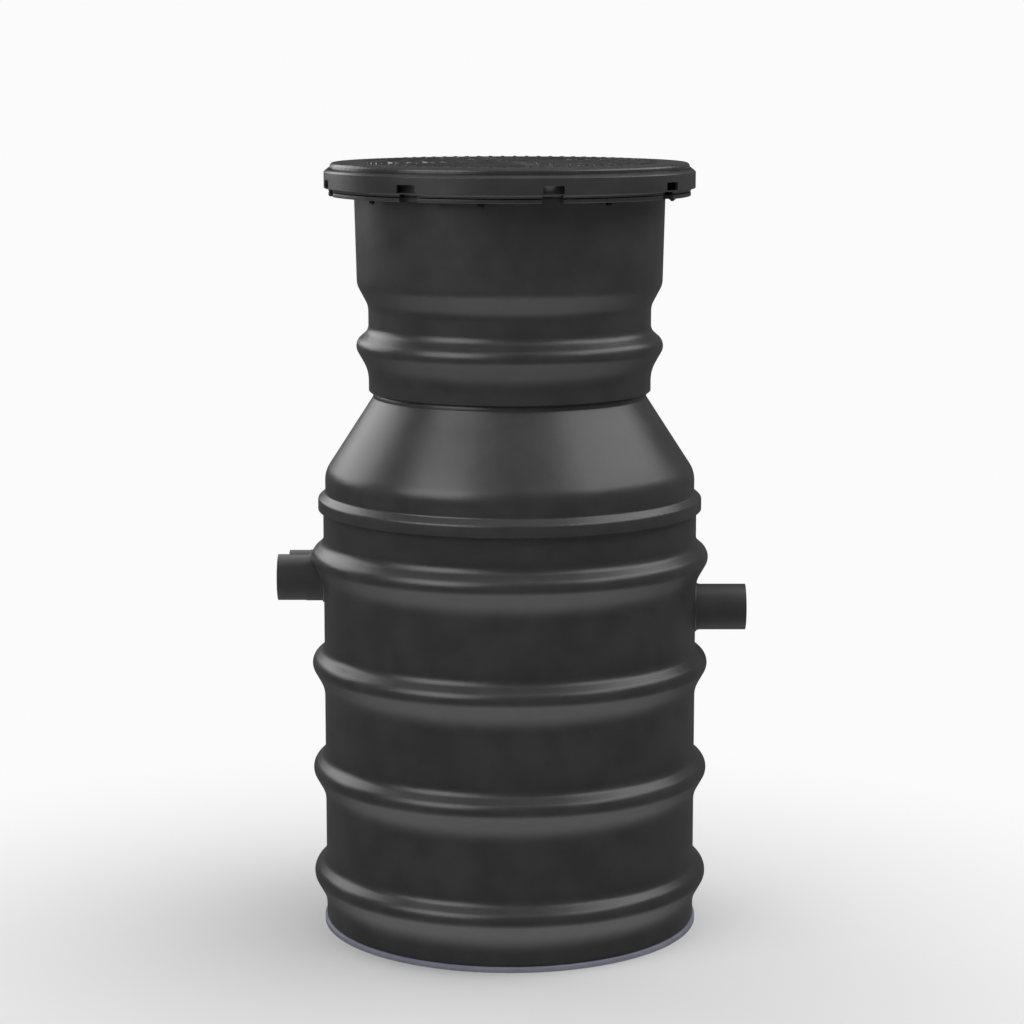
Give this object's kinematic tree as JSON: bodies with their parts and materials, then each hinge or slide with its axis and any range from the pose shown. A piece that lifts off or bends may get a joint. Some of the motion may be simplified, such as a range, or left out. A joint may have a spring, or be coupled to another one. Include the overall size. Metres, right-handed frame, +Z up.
{
  "type": "grease separator",
  "caption": "Upright round plastic tank with ribbed drum, cone and neck, lift-off cover, inlet and outlet stubs and inner drop pipes that keep grease back from waste water.",
  "frame": {"origin": "centre of the base plate's underside, on the drum's axis", "axes": "+Z up along the drum's axis, -X along the inlet stub, +X along the outlet stub, front at -Y"},
  "size_m": [1.12, 0.9477, 1.8305],
  "materials": {
    "drum_black": "matte moulded polyethylene",
    "shoulder_black": "matte moulded polyethylene",
    "neck_black": "matte moulded polyethylene",
    "frame_black": "matte moulded polyethylene",
    "cover_black": "matte moulded polyethylene",
    "pipe_black": "satin extruded pipe",
    "clip_black": "matte moulded polyethylene",
    "fitting_grey": "satin extruded pipe",
    "grey_plate": "matte sheet",
    "seal_rubber": "soft seal rubber",
    "zinc_steel": "zinc plated",
    "stainless_screw": "stainless",
    "insert_brass": "turned"
  },
  "bodies": {
    "separator": {"base_plate": "grey_plate", "tank_shell": "drum_black", "tank_joint_seal": "seal_rubber", "shoulder_cone": "shoulder_black", "riser_seal": "seal_rubber", "riser_neck": "neck_black", "frame_gasket": "seal_rubber", "cover_frame": "frame_black", "frame_bolts": "zinc_steel", "frame_washers": "zinc_steel", "frame_nuts": "zinc_steel", "screw_inserts": "insert_brass", "cover_seal": "seal_rubber", "inlet_pipe": "pipe_black", "outlet_pipe": "pipe_black", "vent_pipe": "pipe_black", "inlet_tee": "fitting_grey", "inlet_tee_seals": "seal_rubber", "inlet_drop_pipe": "fitting_grey", "inlet_clip": "clip_black", "outlet_tee": "fitting_grey", "outlet_tee_seals": "seal_rubber", "outlet_drop_pipe": "fitting_grey", "outlet_clip_upper": "clip_black", "outlet_clip_lower": "clip_black"},
    "cover": {"cover": "cover_black", "cover_screws": "stainless_screw"}
  },
  "joints": [
    {"name": "cover_lift", "type": "slide", "parent": "separator", "child": "cover", "axis": [0, 0, 1], "range_m": [0, 0.3]}
  ]
}
